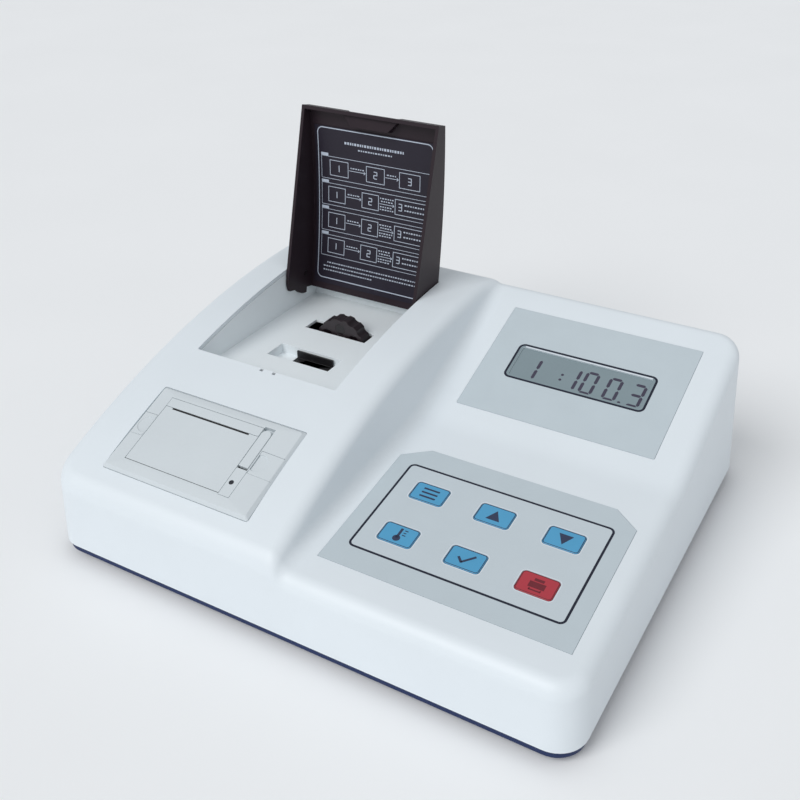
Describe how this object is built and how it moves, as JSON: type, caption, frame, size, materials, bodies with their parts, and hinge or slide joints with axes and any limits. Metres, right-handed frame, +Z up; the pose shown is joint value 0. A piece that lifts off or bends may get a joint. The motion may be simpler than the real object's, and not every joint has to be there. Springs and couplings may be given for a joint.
{
  "type": "soil_spectrophotometer",
  "caption": "Bench soil spectrophotometer with a flap lid over its sample well, panel printer, display and keypad",
  "frame": {"origin": "on the bench, midway between left and right and between front and rear of the housing", "axes": "+X to the user's right, +Y away from the user, +Z up"},
  "size_m": [0.35, 0.304, 0.2294],
  "materials": {
    "housing_plastic": "fine moulded texture, pale cool grey",
    "base_plastic": "dark blue moulded pan",
    "lid_plastic": "tinted near-black, smooth",
    "label_film": "printed dark film",
    "panel_film": "satin printed film",
    "key_blue": "satin blue key tops",
    "key_red": "satin red key top",
    "printer_plastic": "light grey moulded",
    "black_plastic": "black moulded",
    "glass": "clear over a grey display",
    "filter_glass": "coloured optical glass",
    "steel": "drawn pins and springs",
    "nickel": "plated connector",
    "aluminium": "turned",
    "rubber": "soft moulded",
    "board": "printed circuit board",
    "paper": "thermal paper",
    "brass": "small gear"
  },
  "bodies": {
    "housing": {"top_cover": "housing_plastic", "base_pan": "base_plastic", "rubber_feet": "rubber", "case_screws": "steel", "rear_panel": "housing_plastic", "sample_tray": "housing_plastic", "recess_pan": "housing_plastic", "cuvette_holder": "black_plastic", "optics_bench": "black_plastic", "lamp_housing": "aluminium", "source_lamp": "glass", "condenser_lens": "glass", "detector_board": "board", "wheel_axle": "steel", "detent_spring": "steel", "lid_pins": "steel", "lid_catch": "steel", "display_film": "panel_film", "lcd_glass": "glass", "lcd_module": "black_plastic", "keypad_film": "panel_film", "keypad_board": "board", "key_domes": "steel", "printer_bezel": "printer_plastic", "bezel_caps": "printer_plastic", "status_led": "glass", "tear_bar": "printer_plastic", "printer_chassis": "black_plastic", "door_pin": "steel", "thermal_head": "aluminium", "feed_motor": "aluminium", "lever_pin": "steel", "main_board": "board", "power_supply": "black_plastic", "power_inlet": "black_plastic", "switch_frame": "black_plastic", "probe_socket": "nickel", "sensor_socket": "black_plastic"},
    "lid": {"lid": "lid_plastic", "lid_label": "label_film"},
    "wheel": {"filter_wheel": "black_plastic", "colour_filters": "filter_glass"},
    "menu_key": {"key_menu": "key_blue"},
    "up_key": {"key_up": "key_blue"},
    "down_key": {"key_down": "key_blue"},
    "unit_key": {"key_unit": "key_blue"},
    "ok_key": {"key_ok": "key_blue"},
    "print_key": {"key_print": "key_red"},
    "paper_door": {"printer_door": "printer_plastic"},
    "platen": {"platen_axle": "steel", "platen_rubber": "rubber"},
    "pinion": {"drive_pinion": "brass"},
    "lever": {"release_lever": "printer_plastic"},
    "roll": {"paper_roll": "paper"},
    "rocker": {"switch_rocker": "black_plastic"}
  },
  "joints": [
    {"name": "lid_hinge", "type": "hinge", "parent": "housing", "child": "lid", "pos_m": [-0.0887, 0.0836, 0.108], "axis": [1, 0, 0], "range_deg": [0, 102.5]},
    {"name": "wheel_turn", "type": "hinge", "parent": "housing", "child": "wheel", "pos_m": [-0.0877, 0.0538, 0.0772], "axis": [0, 1, 0], "continuous": true},
    {"name": "menu_press", "type": "slide", "parent": "housing", "child": "menu_key", "axis": [0, 0.134, -0.991], "range_m": [0, 0.0005], "stiffness_N_per_m": 1500, "springref_m": -0.0002},
    {"name": "up_press", "type": "slide", "parent": "housing", "child": "up_key", "axis": [0, 0.134, -0.991], "range_m": [0, 0.0005], "stiffness_N_per_m": 1500, "springref_m": -0.0002},
    {"name": "down_press", "type": "slide", "parent": "housing", "child": "down_key", "axis": [0, 0.134, -0.991], "range_m": [0, 0.0005], "stiffness_N_per_m": 1500, "springref_m": -0.0002},
    {"name": "unit_press", "type": "slide", "parent": "housing", "child": "unit_key", "axis": [0, 0.134, -0.991], "range_m": [0, 0.0005], "stiffness_N_per_m": 1500, "springref_m": -0.0002},
    {"name": "ok_press", "type": "slide", "parent": "housing", "child": "ok_key", "axis": [0, 0.134, -0.991], "range_m": [0, 0.0005], "stiffness_N_per_m": 1500, "springref_m": -0.0002},
    {"name": "print_press", "type": "slide", "parent": "housing", "child": "print_key", "axis": [0, 0.134, -0.991], "range_m": [0, 0.0005], "stiffness_N_per_m": 1500, "springref_m": -0.0002},
    {"name": "door_hinge", "type": "hinge", "parent": "housing", "child": "paper_door", "pos_m": [-0.0932, -0.12288, 0.06861], "axis": [1, 0, 0], "range_deg": [0, 60]},
    {"name": "platen_turn", "type": "hinge", "parent": "paper_door", "child": "platen", "pos_m": [-0.0938, -0.08813, 0.07659], "axis": [1, 0, 0], "continuous": true},
    {"name": "pinion_turn", "type": "hinge", "parent": "housing", "child": "pinion", "pos_m": [-0.0627, -0.08544, 0.06959], "axis": [1, 0, 0], "continuous": true},
    {"name": "lever_lift", "type": "hinge", "parent": "housing", "child": "lever", "pos_m": [-0.05375, -0.10309, 0.07621], "axis": [1, 0, 0], "range_deg": [0, 18], "stiffness_Nm_per_rad": 0.02, "springref_deg": -11.46},
    {"name": "roll_turn", "type": "hinge", "parent": "housing", "child": "roll", "pos_m": [-0.0938, -0.09569, 0.04884], "axis": [1, 0, 0], "continuous": true},
    {"name": "rocker_tip", "type": "hinge", "parent": "housing", "child": "rocker", "pos_m": [-0.014, 0.127, 0.043], "axis": [1, 0, 0], "range_deg": [-16, 0]}
  ],
  "couplings": [
    {"joint": "pinion_turn", "follows": "platen_turn", "ratio": -1.5}
  ]
}
